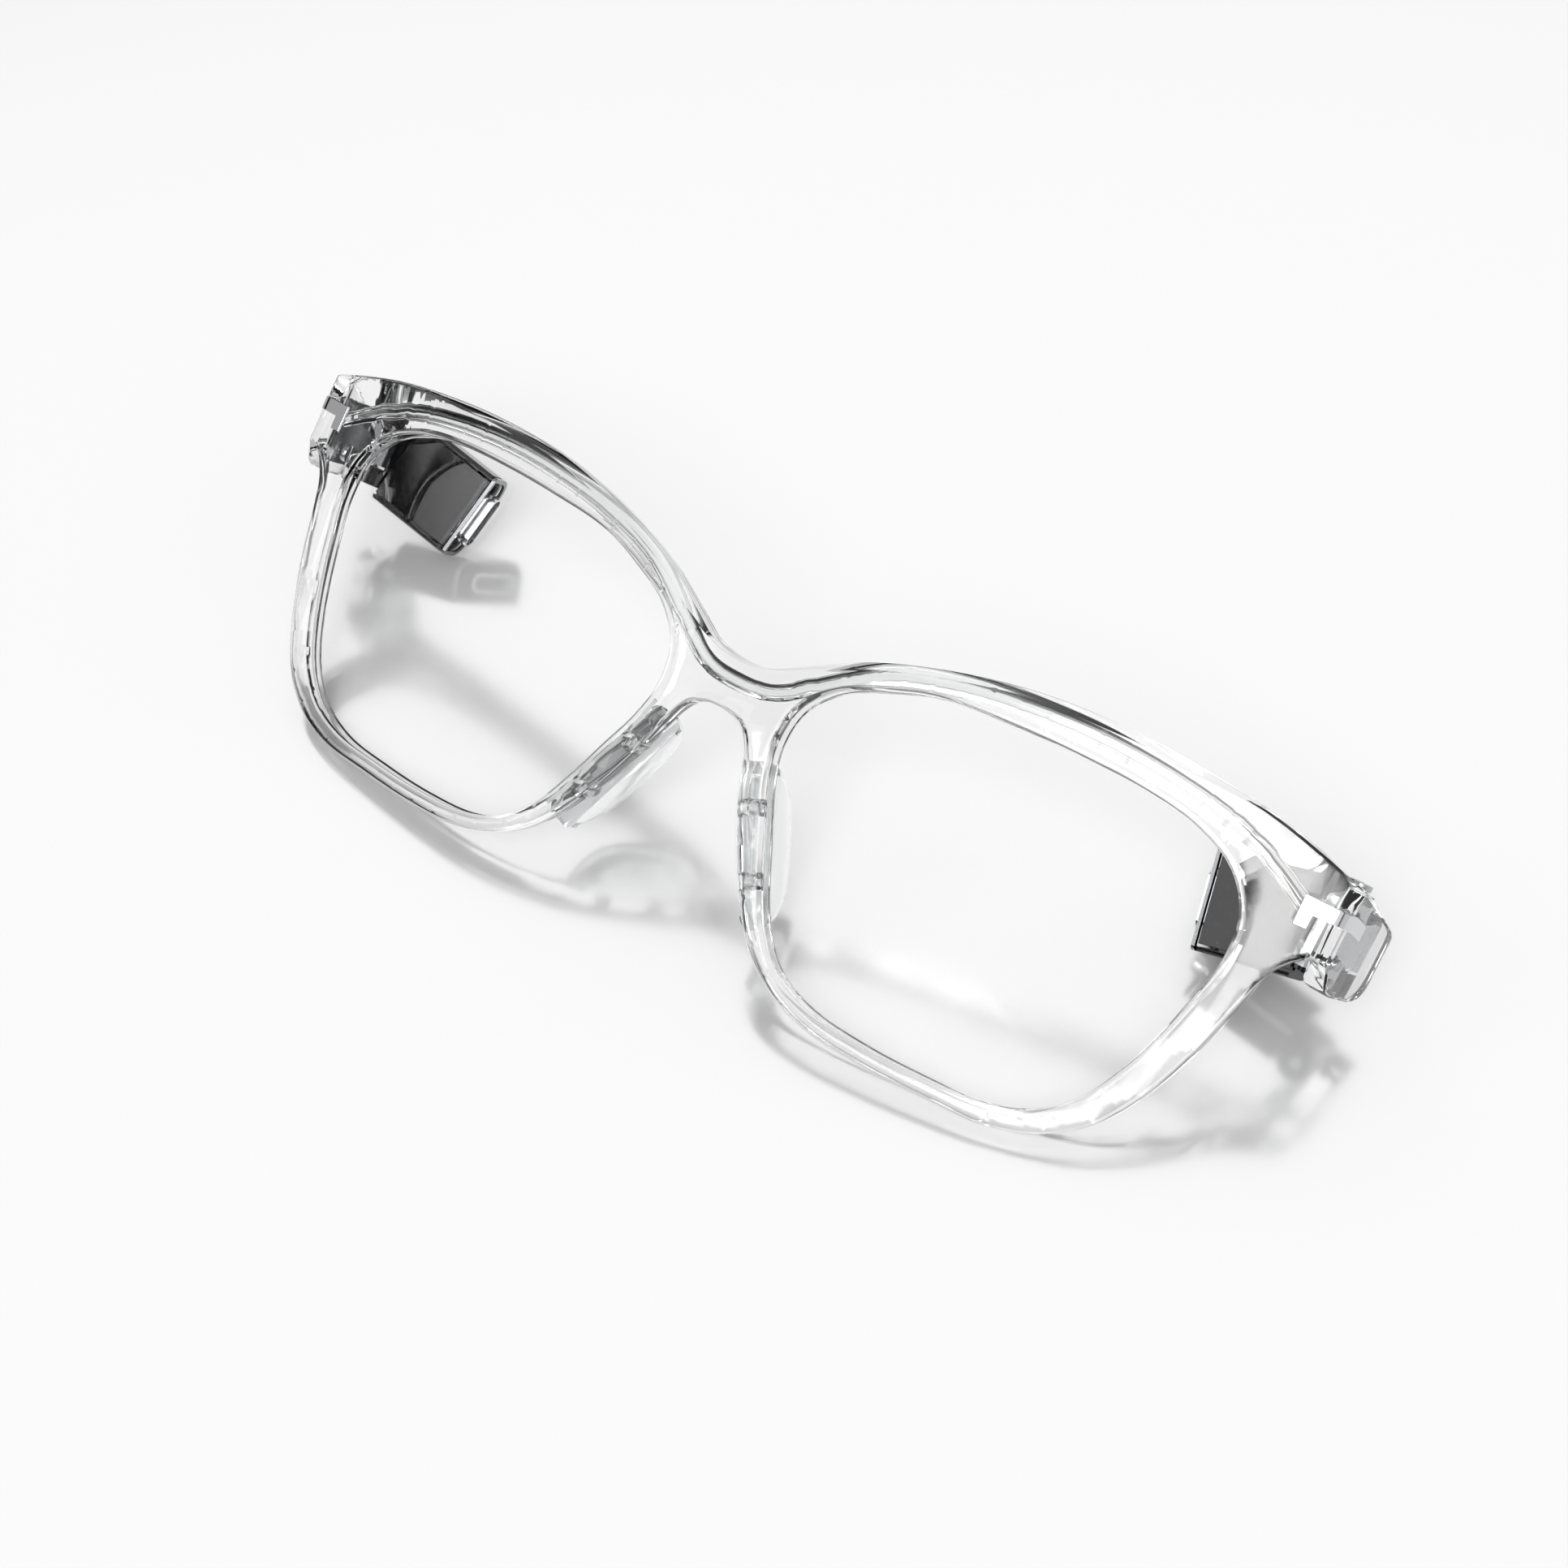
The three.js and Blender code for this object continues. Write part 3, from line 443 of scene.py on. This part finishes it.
# ---- materials ----
def colour(text):
    """sRGB hex to linear."""
    values = [int(text[i:i + 2], 16) / 255 for i in (0, 2, 4)]
    return [v / 12.92 if v <= 0.04045 else ((v + 0.055) / 1.055) ** 2.4 for v in values] + [1]


def add(tree, kind, sets=None, values=None, links=None):
    """One node with its settings, socket values and incoming links."""
    made = tree.nodes.new(kind)
    for key, value in (sets or {}).items():
        setattr(made, key, value)
    for key, value in (values or {}).items():
        made.inputs[key].default_value = value
    for key, source in (links or {}).items():
        tree.links.new(source, made.inputs[key])
    return made


def begin(name):
    """New material, its empty tree and the place on the object that its patterns read."""
    material = bpy.data.materials.new(name)
    material.use_nodes = True
    tree = material.node_tree
    tree.nodes.clear()
    coords = add(tree, "ShaderNodeTexCoord")
    return material, tree, coords.outputs["Object"]


def per_mm(spacing):
    """Scale of a pattern whose marks are about that many millimetres apart."""
    return 1 / (spacing * MM)


def crystal_nylon():
    """Transparent nylon, injection moulded and tumble polished: water clear, very
    slightly wavy where the melt flowed."""
    material, tree, place = begin("crystal_nylon")
    flow = add(tree, "ShaderNodeTexNoise", links={"Vector": place},
               values={"Scale": per_mm(14.0), "Detail": 1.0})
    haze = add(tree, "ShaderNodeTexNoise", links={"Vector": place},
               values={"Scale": per_mm(1.2), "Detail": 2.0})
    polish = add(tree, "ShaderNodeMapRange", links={"Value": haze.outputs["Fac"]},
                 values={"To Min": 0.0, "To Max": 0.004})
    waves = add(tree, "ShaderNodeBump", links={"Height": flow.outputs["Fac"]},
                values={"Strength": 1.0, "Distance": 0.004 * MM})
    shader = add(tree, "ShaderNodeBsdfPrincipled",
                 values={"Base Color": colour("ffffff"), "IOR": 1.5,
                         "Transmission Weight": 1.0},
                 links={"Roughness": polish.outputs["Result"],
                        "Normal": waves.outputs["Normal"]})
    add(tree, "ShaderNodeOutputMaterial", links={"Surface": shader.outputs["BSDF"]})
    return material


def coated_resin():
    """Clear lens resin with an anti-reflection coat: almost nothing to see. The low IOR
    and alpha stand in for the coat."""
    material, tree, place = begin("coated_resin")
    haze = add(tree, "ShaderNodeTexNoise", links={"Vector": place},
               values={"Scale": per_mm(20.0), "Detail": 1.0})
    polish = add(tree, "ShaderNodeMapRange", links={"Value": haze.outputs["Fac"]},
                 values={"To Min": 0.0, "To Max": 0.01})
    shader = add(tree, "ShaderNodeBsdfPrincipled",
                 values={"Base Color": colour("ffffff"), "IOR": 1.05,
                         "Transmission Weight": 1.0, "Alpha": 0.04},
                 links={"Roughness": polish.outputs["Result"]})
    add(tree, "ShaderNodeOutputMaterial", links={"Surface": shader.outputs["BSDF"]})
    return material


def soft_silicone():
    """Clear silicone, moulded in a satin tool: cloudy at the skin."""
    material, tree, place = begin("clear_silicone")
    skin = add(tree, "ShaderNodeTexNoise", links={"Vector": place},
               values={"Scale": per_mm(0.5), "Detail": 2.0})
    cloud = add(tree, "ShaderNodeTexNoise", links={"Vector": place},
                values={"Scale": per_mm(3.0), "Detail": 2.0})
    satin = add(tree, "ShaderNodeMapRange", links={"Value": cloud.outputs["Fac"]},
                values={"To Min": 0.02, "To Max": 0.08})
    relief = add(tree, "ShaderNodeBump", links={"Height": skin.outputs["Fac"]},
                 values={"Strength": 1.0, "Distance": 0.01 * MM})
    shader = add(tree, "ShaderNodeBsdfPrincipled",
                 values={"Base Color": colour("dfe1e2"), "IOR": 1.45,
                         "Transmission Weight": 0.9},
                 links={"Roughness": satin.outputs["Result"],
                        "Normal": relief.outputs["Normal"]})
    add(tree, "ShaderNodeOutputMaterial", links={"Surface": shader.outputs["BSDF"]})
    return material


def gloss_black():
    """Black nylon, moulded in a mirror tool: deep gloss with a trace of orange peel."""
    material, tree, place = begin("gloss_black_nylon")
    peel = add(tree, "ShaderNodeTexNoise", links={"Vector": place},
               values={"Scale": per_mm(1.5), "Detail": 1.0})
    wipe = add(tree, "ShaderNodeTexNoise", links={"Vector": place},
               values={"Scale": per_mm(6.0), "Detail": 3.0})
    tone = add(tree, "ShaderNodeMix", sets={"data_type": "RGBA"},
               values={"A": colour("0b0b0c"), "B": colour("121213")},
               links={"Factor": wipe.outputs["Fac"]})
    gloss = add(tree, "ShaderNodeMapRange", links={"Value": wipe.outputs["Fac"]},
                values={"To Min": 0.01, "To Max": 0.05})
    relief = add(tree, "ShaderNodeBump", links={"Height": peel.outputs["Fac"]},
                 values={"Strength": 1.0, "Distance": 0.002 * MM})
    shader = add(tree, "ShaderNodeBsdfPrincipled", values={"IOR": 1.5},
                 links={"Base Color": tone.outputs["Result"],
                        "Roughness": gloss.outputs["Result"],
                        "Normal": relief.outputs["Normal"]})
    add(tree, "ShaderNodeOutputMaterial", links={"Surface": shader.outputs["BSDF"]})
    return material


def steel(name, tint, rough, line, height):
    """Stainless steel; line is how far apart its finishing marks are, in mm."""
    material, tree, place = begin(name)
    stretched = add(tree, "ShaderNodeMapping", values={"Scale": (1, 1, 14)},
                    links={"Vector": place})
    marks = add(tree, "ShaderNodeTexNoise", links={"Vector": stretched.outputs["Vector"]},
                values={"Scale": per_mm(line), "Detail": 3.0})
    finish = add(tree, "ShaderNodeMapRange", links={"Value": marks.outputs["Fac"]},
                 values={"To Min": rough * 0.7, "To Max": rough * 1.3})
    relief = add(tree, "ShaderNodeBump", links={"Height": marks.outputs["Fac"]},
                 values={"Strength": 1.0, "Distance": height * MM})
    shader = add(tree, "ShaderNodeBsdfPrincipled",
                 values={"Base Color": colour(tint), "Metallic": 1.0},
                 links={"Roughness": finish.outputs["Result"],
                        "Normal": relief.outputs["Normal"]})
    add(tree, "ShaderNodeOutputMaterial", links={"Surface": shader.outputs["BSDF"]})
    return material


def eroded(name, tint, low, high, pore):
    """Plastic, epoxy or rubber from a spark-eroded tool: even and dull, with pores that
    many millimetres apart."""
    material, tree, place = begin(name)
    pores = add(tree, "ShaderNodeTexNoise", links={"Vector": place},
                values={"Scale": per_mm(pore), "Detail": 3.0})
    dullness = add(tree, "ShaderNodeMapRange", links={"Value": pores.outputs["Fac"]},
                   values={"To Min": low, "To Max": high})
    relief = add(tree, "ShaderNodeBump", links={"Height": pores.outputs["Fac"]},
                 values={"Strength": 1.0, "Distance": 0.02 * MM})
    shader = add(tree, "ShaderNodeBsdfPrincipled",
                 values={"Base Color": colour(tint), "IOR": 1.5},
                 links={"Roughness": dullness.outputs["Result"],
                        "Normal": relief.outputs["Normal"]})
    add(tree, "ShaderNodeOutputMaterial", links={"Surface": shader.outputs["BSDF"]})
    return material


def solder_mask():
    """Glass-fibre board under green solder mask, with copper tracks showing as ridges."""
    material, tree, place = begin("solder_mask")
    tracks = add(tree, "ShaderNodeTexBrick", sets={"offset": 0.5},
                 values={"Color1": colour("1f4a33"), "Color2": colour("2a6045"),
                         "Mortar": colour("143524"), "Scale": per_mm(1.2),
                         "Mortar Size": 0.05},
                 links={"Vector": place})
    ridges = add(tree, "ShaderNodeBump", links={"Height": tracks.outputs["Fac"]},
                 values={"Strength": 1.0, "Distance": 0.03 * MM})
    shader = add(tree, "ShaderNodeBsdfPrincipled", values={"Roughness": 0.35},
                 links={"Base Color": tracks.outputs["Color"],
                        "Normal": ridges.outputs["Normal"]})
    add(tree, "ShaderNodeOutputMaterial", links={"Surface": shader.outputs["BSDF"]})
    return material


def jacket():
    """Clear elastomer jacket over fine white strands."""
    material, tree, place = begin("clear_jacket")
    strands = add(tree, "ShaderNodeTexNoise", links={"Vector": place},
                  values={"Scale": per_mm(0.4), "Detail": 2.0})
    satin = add(tree, "ShaderNodeMapRange", links={"Value": strands.outputs["Fac"]},
                values={"To Min": 0.02, "To Max": 0.1})
    relief = add(tree, "ShaderNodeBump", links={"Height": strands.outputs["Fac"]},
                 values={"Strength": 1.0, "Distance": 0.01 * MM})
    shader = add(tree, "ShaderNodeBsdfPrincipled",
                 values={"Base Color": colour("f6f8f8"), "IOR": 1.45,
                         "Transmission Weight": 1.0},
                 links={"Roughness": satin.outputs["Result"],
                        "Normal": relief.outputs["Normal"]})
    add(tree, "ShaderNodeOutputMaterial", links={"Surface": shader.outputs["BSDF"]})
    return material


CLEAR = crystal_nylon()
RESIN = coated_resin()
SILICONE = soft_silicone()
BLACK = gloss_black()
MIRROR_STEEL = steel("polished_steel", "dcdcde", 0.07, 0.6, 0.0005)
RING_STEEL = steel("smoked_steel", "838486", 0.12, 0.6, 0.0005)
BRUSHED_STEEL = steel("brushed_steel", "b6b8ba", 0.28, 0.25, 0.004)
PLUG_STEEL = steel("plated_steel", "e3e4e6", 0.16, 0.4, 0.001)
MATTE = eroded("moulded_black", "0c0c0d", 0.45, 0.65, 0.2)
INSERT = eroded("moulded_grey", "6f7072", 0.35, 0.5, 0.2)
RUBBER = eroded("black_rubber", "121212", 0.6, 0.85, 0.3)
CHIP = eroded("black_epoxy", "18191a", 0.35, 0.5, 0.15)
BOARD = solder_mask()
JACKET = jacket()

# ---- front frame ----
stations = sorted(set(FRONT_STATIONS + BEND_STATIONS + [-s for s in BEND_STATIONS]))
clear_front = plate("clear_front", [
    (outline, 1, outer_rings),
    (opening_right, -1, opening_rings),
    (opening_left, -1, opening_rings),
], on_front, stations)
cut(clear_front, tube("channel_cutter", channel_line(CHANNEL_OVERRUN), CHANNEL_RADIUS, 7))
for side in (-1, 1):
    for height in (-STUD_SPACING / 2, STUD_SPACING / 2):
        cut(clear_front, stud(side, height, STUD_HOLE_RADIUS, STUD_HOLE_REACH))
smooth(clear_front, 26)
finish_piece(clear_front, CLEAR, "clear_nylon", "front", "front_frame")

cable = tube("brow_cable", channel_line(0), CABLE_RADIUS, 5)
smooth(cable, 40)
finish_piece(cable, JACKET, "cable_jacket", "front", "brow_link_cable")

# ---- lenses, pads and corner plates ----
for side, hand in ((-1, "left"), (1, "right")):
    around = opening_right if side > 0 else opening_left
    edge = GROOVE - LENS_PLAY
    lens_back = LENS_FRONT + LENS_THICK
    lens_rings = [(LENS_FRONT, -edge + LENS_CHAMFER), (LENS_FRONT + LENS_CHAMFER, -edge),
                  (lens_back - LENS_CHAMFER, -edge), (lens_back, -edge + LENS_CHAMFER)]
    lens = plate(f"lens_sheet_{hand}", [(around, 1, lens_rings)], straight_on,
                 FRONT_STATIONS)
    smooth(lens, 30)
    finish_piece(lens, RESIN, "lens_resin", "front", f"lens_{hand}")

    blade = [(0, -PAD_HALF)]
    for a, b, c in (((0, -PAD_HALF), (1.05 * PAD_DEPTH, -0.9 * PAD_HALF), (PAD_DEPTH, 0)),
                    ((PAD_DEPTH, 0), (1.05 * PAD_DEPTH, 0.9 * PAD_HALF), (0, PAD_HALF))):
        for i in range(1, PAD_SIDE_STEPS + 1):
            t = i / PAD_SIDE_STEPS
            blade.append(tuple((1 - t) ** 2 * Vector(a) + 2 * t * (1 - t) * Vector(b)
                               + t * t * Vector(c)))
    blade = spline(blade, True, PAD_STEPS)
    pad_rings = [(-PAD_WIDTH / 2 + PAD_EDGE * (1 - math.sin(a)), PAD_EDGE * (1 - math.cos(a)))
                 for a in [math.radians(d) for d in (90, 65, 45, 25, 0)]]
    pad_rings += [(-depth, inset) for depth, inset in reversed(pad_rings)]
    turn = WORN @ pad_matrix(side)
    pad = plate(f"pad_{hand}", [(blade, 1, pad_rings)],
                lambda v: (turn @ Vector((v.y, v.x, v.z))) * MM)
    studs = [stud(side, height, STUD_RADIUS, STUD_REACH)
             for height in (-STUD_SPACING / 2, STUD_SPACING / 2)]
    for peg in studs:
        apply(pad, "BOOLEAN", operation="UNION", object=peg, solver="EXACT")
        bpy.data.objects.remove(peg)
    smooth(pad, 35)
    finish_piece(pad, SILICONE, "soft_silicone", "front", f"nose_pad_{hand}")

    outline_plate = [Vector((side * x, z)) for x, z in PLATE]
    badge_rings = rounded(PLATE_PROUD, PLATE_EDGE)
    badge_rings += rounded(PLATE_BACK, PLATE_BACK_EDGE, back=True)
    badge = plate(f"corner_badge_{hand}", [(outline_plate, 1, badge_rings)], on_front,
                  [side * s for s in BEND_STATIONS])
    smooth(badge, 20)
    finish_piece(badge, MIRROR_STEEL, "polished_steel", "front", f"corner_plate_{hand}")


# ---- pieces refined from their CAD solids ----
def refined(node, name, width):
    """Copy of a CAD solid, merged, with its edges broken and its faces eased."""
    mesh = nodes[node].data.copy()
    mesh.materials.clear()
    obj = bpy.data.objects.new(name, mesh)
    bpy.context.scene.collection.objects.link(obj)
    edit(obj)
    bpy.ops.mesh.customdata_custom_splitnormals_clear()
    bpy.ops.mesh.remove_doubles(threshold=CAD_WELD)
    bpy.ops.mesh.dissolve_limited(angle_limit=math.radians(FLAT_ANGLE))
    bpy.ops.mesh.normals_make_consistent(inside=False)
    leave()
    apply(obj, "BEVEL", width=width * MM, segments=BREAK_SEGMENTS, limit_method="ANGLE",
          angle_limit=math.radians(BREAK_ANGLE), miter_outer="MITER_ARC")
    smooth(obj, 32)
    apply(obj, "WEIGHTED_NORMAL", keep_sharp=True)
    return obj


REFINED = [
    # CAD node, new name, edge in mm, material, slot, body
    ("hinge_bracket", "bracket", 0.12, BRUSHED_STEEL, "brushed_steel", "front"),
    ("bracket_screw_upper", "screw_upper", 0.06, BRUSHED_STEEL, "brushed_steel", "front"),
    ("bracket_screw_lower", "screw_lower", 0.06, BRUSHED_STEEL, "brushed_steel", "front"),
    ("hinge_pin", "pin", 0.07, BRUSHED_STEEL, "brushed_steel", "stub"),
    ("stub_housing", "housing", 0.12, BLACK, "black_nylon", "stub"),
    ("stub_cover", "cover", 0.07, BLACK, "black_nylon", "stub"),
    ("end_seal", "seal", 0.05, RUBBER, "black_rubber", "stub"),
    ("end_bezel", "bezel", 0.08, RING_STEEL, "polished_steel", "stub"),
    ("connector_seat", "seat", 0.06, MATTE, "black_plastic", "stub"),
    ("plug_shell", "plug", 0.08, PLUG_STEEL, "plug_steel", "stub"),
    ("plug_insert", "tongue", 0.05, INSERT, "black_plastic", "stub"),
    ("connector_board", "board", 0.05, BOARD, "board_green", "stub"),
    ("control_chip", "chip", 0.06, CHIP, "chip_black", "stub"),
]
for hand in ("left", "right"):
    for node, name, width, material, slot, body in REFINED:
        made = refined(f"{node}_{hand}", f"{name}_{hand}", width)
        rides = "front" if body == "front" else f"stub_{hand}"
        finish_piece(made, material, slot, rides, f"{node}_{hand}")

# ---- floor, light and camera ----
FLOOR_SIZE = 6.0
FLOOR_GLOSS = 0.55        # share of the floor's light that is reflected
bpy.ops.mesh.primitive_plane_add(size=FLOOR_SIZE, location=(0, 0, 0))
floor = bpy.context.view_layer.objects.active
floor.name = "floor"
gloss, tree, place = begin("pale_gloss_floor")
wash = add(tree, "ShaderNodeTexNoise", links={"Vector": place},
           values={"Scale": per_mm(400.0), "Detail": 1.0})
polish = add(tree, "ShaderNodeMapRange", links={"Value": wash.outputs["Fac"]},
             values={"To Min": 0.15, "To Max": 0.17})
paper = add(tree, "ShaderNodeBsdfDiffuse", values={"Color": colour("f6f6f6")})
sheen = add(tree, "ShaderNodeBsdfGlossy", values={"Color": colour("ffffff")},
            links={"Roughness": polish.outputs["Result"]})
mixed = add(tree, "ShaderNodeMixShader", values={0: FLOOR_GLOSS},
            links={1: paper.outputs["BSDF"], 2: sheen.outputs["BSDF"]})
add(tree, "ShaderNodeOutputMaterial", links={"Surface": mixed.outputs["Shader"]})
floor.data.materials.append(gloss)

world = bpy.data.worlds.new("studio")
bpy.context.scene.world = world
world.use_nodes = True
sky = world.node_tree
sky.nodes.clear()
looking = add(sky, "ShaderNodeTexCoord").outputs["Generated"]


def lobe(direction, inner, outer):
    """1 within inner degrees of the direction, 0 beyond outer degrees."""
    towards = add(sky, "ShaderNodeVectorMath", sets={"operation": "DOT_PRODUCT"},
                  values={1: Vector(direction).normalized()}, links={0: looking})
    return add(sky, "ShaderNodeMapRange", sets={"interpolation_type": "SMOOTHSTEP"},
               values={"From Min": math.cos(math.radians(outer)),
                       "From Max": math.cos(math.radians(inner))},
               links={"Value": towards.outputs["Value"]}).outputs["Result"]


# A broad ceiling over dark surroundings, then each light or flag laid over the ones
# before it: direction, degrees to its inner and outer edge, brightness.
SURROUNDINGS = 0.02
CEILING = ((0, 0, 1), 61, 64, 0.885)
LIGHTS = [
    ((0.85, 0.35, 0.28), 42, 50, 0.7),      # white wall on the right
    ((-0.95, -0.22, 0.25), 22, 26, 0.02),   # black flag low down on the left
    ((-0.86, -0.39, 0.33), 8, 12, 0.45),    # grey card in front of the flag
    ((-0.61, -0.57, 0.55), 5, 8, 2.4),      # small lamp on the left
    ((0.18, -0.60, 0.78), 8, 21.5, 8.0),    # large soft key in front
]
WINDOW = ((0.40, 0.0, 0.92), 52, 54, 0.005)
BACKDROP = 0.93

direction, inner, outer, tone = CEILING
light = add(sky, "ShaderNodeMix", values={"A": SURROUNDINGS, "B": tone},
            links={"Factor": lobe(direction, inner, outer)}).outputs["Result"]
for direction, inner, outer, tone in LIGHTS:
    light = add(sky, "ShaderNodeMix", values={"B": tone},
                links={"Factor": lobe(direction, inner, outer),
                       "A": light}).outputs["Result"]

# What the clear pieces pass on sees the lights through a round window and darkness
# outside it, and the eye sees an even backdrop.
direction, inner, outer, dark = WINDOW
passed = add(sky, "ShaderNodeMix", values={"A": dark},
             links={"Factor": lobe(direction, inner, outer), "B": light})
path = add(sky, "ShaderNodeLightPath")
light = add(sky, "ShaderNodeMix", links={"Factor": path.outputs["Is Transmission Ray"],
                                         "A": light, "B": passed.outputs["Result"]})
seen = add(sky, "ShaderNodeMix", values={"B": BACKDROP},
           links={"Factor": path.outputs["Is Camera Ray"], "A": light.outputs["Result"]})
background = add(sky, "ShaderNodeBackground", values={"Color": (1, 1, 1, 1)},
                 links={"Strength": seen.outputs["Result"]})
add(sky, "ShaderNodeOutputWorld", links={"Surface": background.outputs["Background"]})

LENS_LENGTH = 57.76
CAMERA_PLACE = Vector((0.1130, -0.13715, 0.22283))
CAMERA_RIGHT = Vector((0.81162, 0.58341, -0.03004))
CAMERA_UP = Vector((-0.43655, 0.63987, 0.63245))
camera_data = bpy.data.cameras.new("camera")
camera_data.sensor_width = 36
camera_data.lens = LENS_LENGTH
camera_data.clip_start = 0.01
camera = bpy.data.objects.new("camera", camera_data)
bpy.context.scene.collection.objects.link(camera)
turn = Matrix((CAMERA_RIGHT, CAMERA_UP, CAMERA_RIGHT.cross(CAMERA_UP))).transposed()
camera.matrix_world = Matrix.Translation(CAMERA_PLACE) @ turn.to_4x4()
bpy.context.scene.camera = camera
bpy.context.scene.view_settings.view_transform = "Standard"
